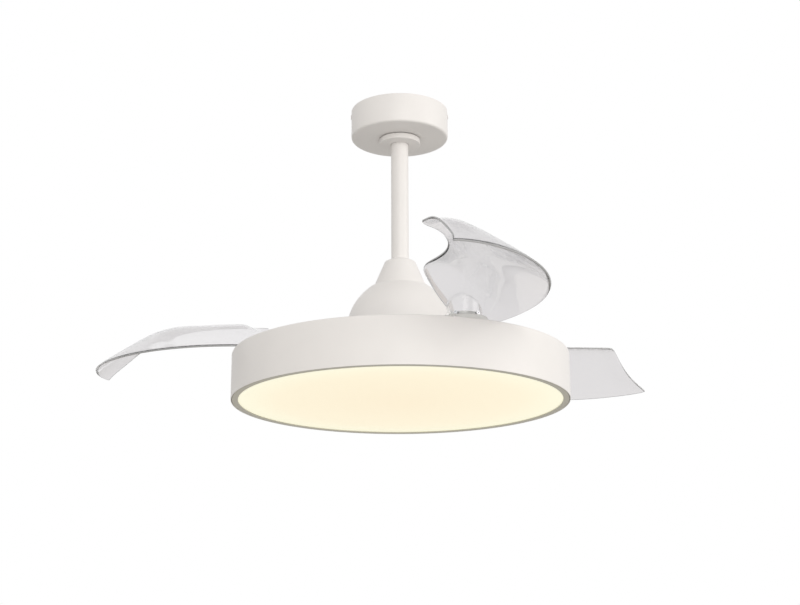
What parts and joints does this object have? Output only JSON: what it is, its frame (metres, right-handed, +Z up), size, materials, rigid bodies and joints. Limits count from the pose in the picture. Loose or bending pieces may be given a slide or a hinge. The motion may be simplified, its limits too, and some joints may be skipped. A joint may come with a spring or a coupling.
{
  "type": "retractable blade ceiling fan",
  "caption": "Ceiling fan with a drum lamp, domed motor housing and clear curved blades that fold onto the drum when the fan stops.",
  "frame": {"origin": "centre of the hanger bracket's top face, on the ceiling", "axes": "+Z up into the ceiling, +X to the right and +Y away from a viewer in front; the rotor turns about Z"},
  "size_m": [0.9037, 0.8774, 0.464],
  "materials": {
    "white_paint": "warm white powder coat, satin",
    "white_plastic": "warm white moulded plastic, satin",
    "zinc_steel": "zinc plated steel",
    "bright_steel": "bright steel",
    "dark_steel": "blackened steel",
    "green_zinc": "green passivated steel",
    "lamination": "stacked electrical steel",
    "spring_steel": "music wire",
    "copper_enamel": "enamelled copper wire",
    "sintered_bronze": "oiled sintered bronze",
    "cast_aluminium": "die cast aluminium",
    "board_white": "white faced aluminium board",
    "ferrite": "ferrite magnet",
    "black_rubber": "black rubber",
    "cable_grey": "grey cable jacket",
    "black_nylon": "black glass filled nylon",
    "ivory_nylon": "off-white nylon",
    "ring_nylon": "natural acetal",
    "hub_nylon": "white acetal",
    "led_phosphor": "phosphor coated light emitting diode",
    "clear_blade": "clear, slightly smoky polycarbonate, polished",
    "opal_acrylic": "opal acrylic, lit from behind",
    "trim_grey": "warm grey moulded trim"
  },
  "bodies": {
    "ceiling_mount": {"hanger_bracket": "zinc_steel", "ball_seat": "black_rubber", "canopy": "white_paint", "canopy_screws": "white_paint", "terminal_block": "ivory_nylon", "ground_screw": "green_zinc"},
    "pendant": {"hanger_ball": "black_nylon", "ball_pin": "bright_steel", "downrod": "white_paint", "coupling": "zinc_steel", "clevis_pin": "bright_steel", "cotter_pins": "bright_steel", "coupling_screws": "dark_steel", "motor_shaft": "bright_steel", "stator_core": "lamination", "stator_coils": "copper_enamel", "bell": "white_paint", "bell_screws": "bright_steel", "lamp_plate": "zinc_steel", "shaft_nut": "zinc_steel", "drum_shell": "white_paint", "drum_screws": "bright_steel", "board_spacers": "zinc_steel", "led_board": "board_white", "leds": "led_phosphor", "led_driver": "ivory_nylon", "receiver": "ivory_nylon", "supply_lead": "cable_grey"},
    "trim_collar": {"rod_collar": "white_plastic", "collar_o_ring": "black_rubber"},
    "cover": {"coupling_cover": "white_paint"},
    "rotor": {"rotor_base": "cast_aluminium", "rotor_cover": "cast_aluminium", "rotor_screws": "bright_steel", "magnet_ring": "ferrite", "bearings": "bright_steel", "blade_carrier": "zinc_steel", "carrier_screws": "bright_steel", "pivot_pins": "bright_steel", "ring_guides": "ivory_nylon", "stop_bumpers": "black_rubber", "spring_pegs": "bright_steel", "return_springs": "spring_steel"},
    "sync": {"sync_ring": "ring_nylon"},
    "lamp_cover": {"diffuser": "opal_acrylic", "diffuser_ring": "trim_grey"},
    "blade_arm_1": {"blade_1": "clear_blade", "blade_hub_1": "hub_nylon", "blade_bush_1": "sintered_bronze", "blade_screws_1": "bright_steel"},
    "blade_arm_2": {"blade_2": "clear_blade", "blade_hub_2": "hub_nylon", "blade_bush_2": "sintered_bronze", "blade_screws_2": "bright_steel"},
    "blade_arm_3": {"blade_3": "clear_blade", "blade_hub_3": "hub_nylon", "blade_bush_3": "sintered_bronze", "blade_screws_3": "bright_steel"}
  },
  "joints": [
    {"name": "pendant_swing", "type": "hinge", "parent": "ceiling_mount", "child": "pendant", "pos_m": [0, 0, -0.022], "axis": [0, 1, 0], "range_deg": [-2, 2], "deforming": ["supply_lead"]},
    {"name": "collar_slide", "type": "slide", "parent": "pendant", "child": "trim_collar", "axis": [0, 0, -1], "range_m": [0, 0.095]},
    {"name": "cover_lift", "type": "slide", "parent": "pendant", "child": "cover", "axis": [0, 0, 1], "range_m": [0, 0.085]},
    {"name": "rotor_spin", "type": "hinge", "parent": "pendant", "child": "rotor", "pos_m": [0, 0, -0.364], "axis": [0, 0, 1], "continuous": true},
    {"name": "blade_swing_1", "type": "hinge", "parent": "rotor", "child": "blade_arm_1", "pos_m": [0.11469, 0.1675, -0.384], "axis": [0, 0, 1], "range_deg": [-108.6, 0]},
    {"name": "blade_swing_2", "type": "hinge", "parent": "rotor", "child": "blade_arm_2", "pos_m": [-0.2024, 0.01557, -0.384], "axis": [0, 0, 1], "range_deg": [-108.6, 0]},
    {"name": "blade_swing_3", "type": "hinge", "parent": "rotor", "child": "blade_arm_3", "pos_m": [0.08771, -0.18307, -0.384], "axis": [0, 0, 1], "range_deg": [-108.6, 0]},
    {"name": "sync_turn", "type": "hinge", "parent": "rotor", "child": "sync", "pos_m": [0, 0, -0.39], "axis": [0, 0, 1], "range_deg": [0, 22.65], "deforming": ["return_springs"]},
    {"name": "lamp_cover_twist", "type": "hinge", "parent": "pendant", "child": "lamp_cover", "pos_m": [0, 0, -0.462], "axis": [0, 0, 1], "range_deg": [0, 14]}
  ],
  "couplings": [
    {"joint": "blade_swing_2", "follows": "blade_swing_1", "ratio": 1},
    {"joint": "blade_swing_3", "follows": "blade_swing_1", "ratio": 1},
    {"joint": "sync_turn", "follows": "blade_swing_1", "ratio": -0.20833}
  ]
}
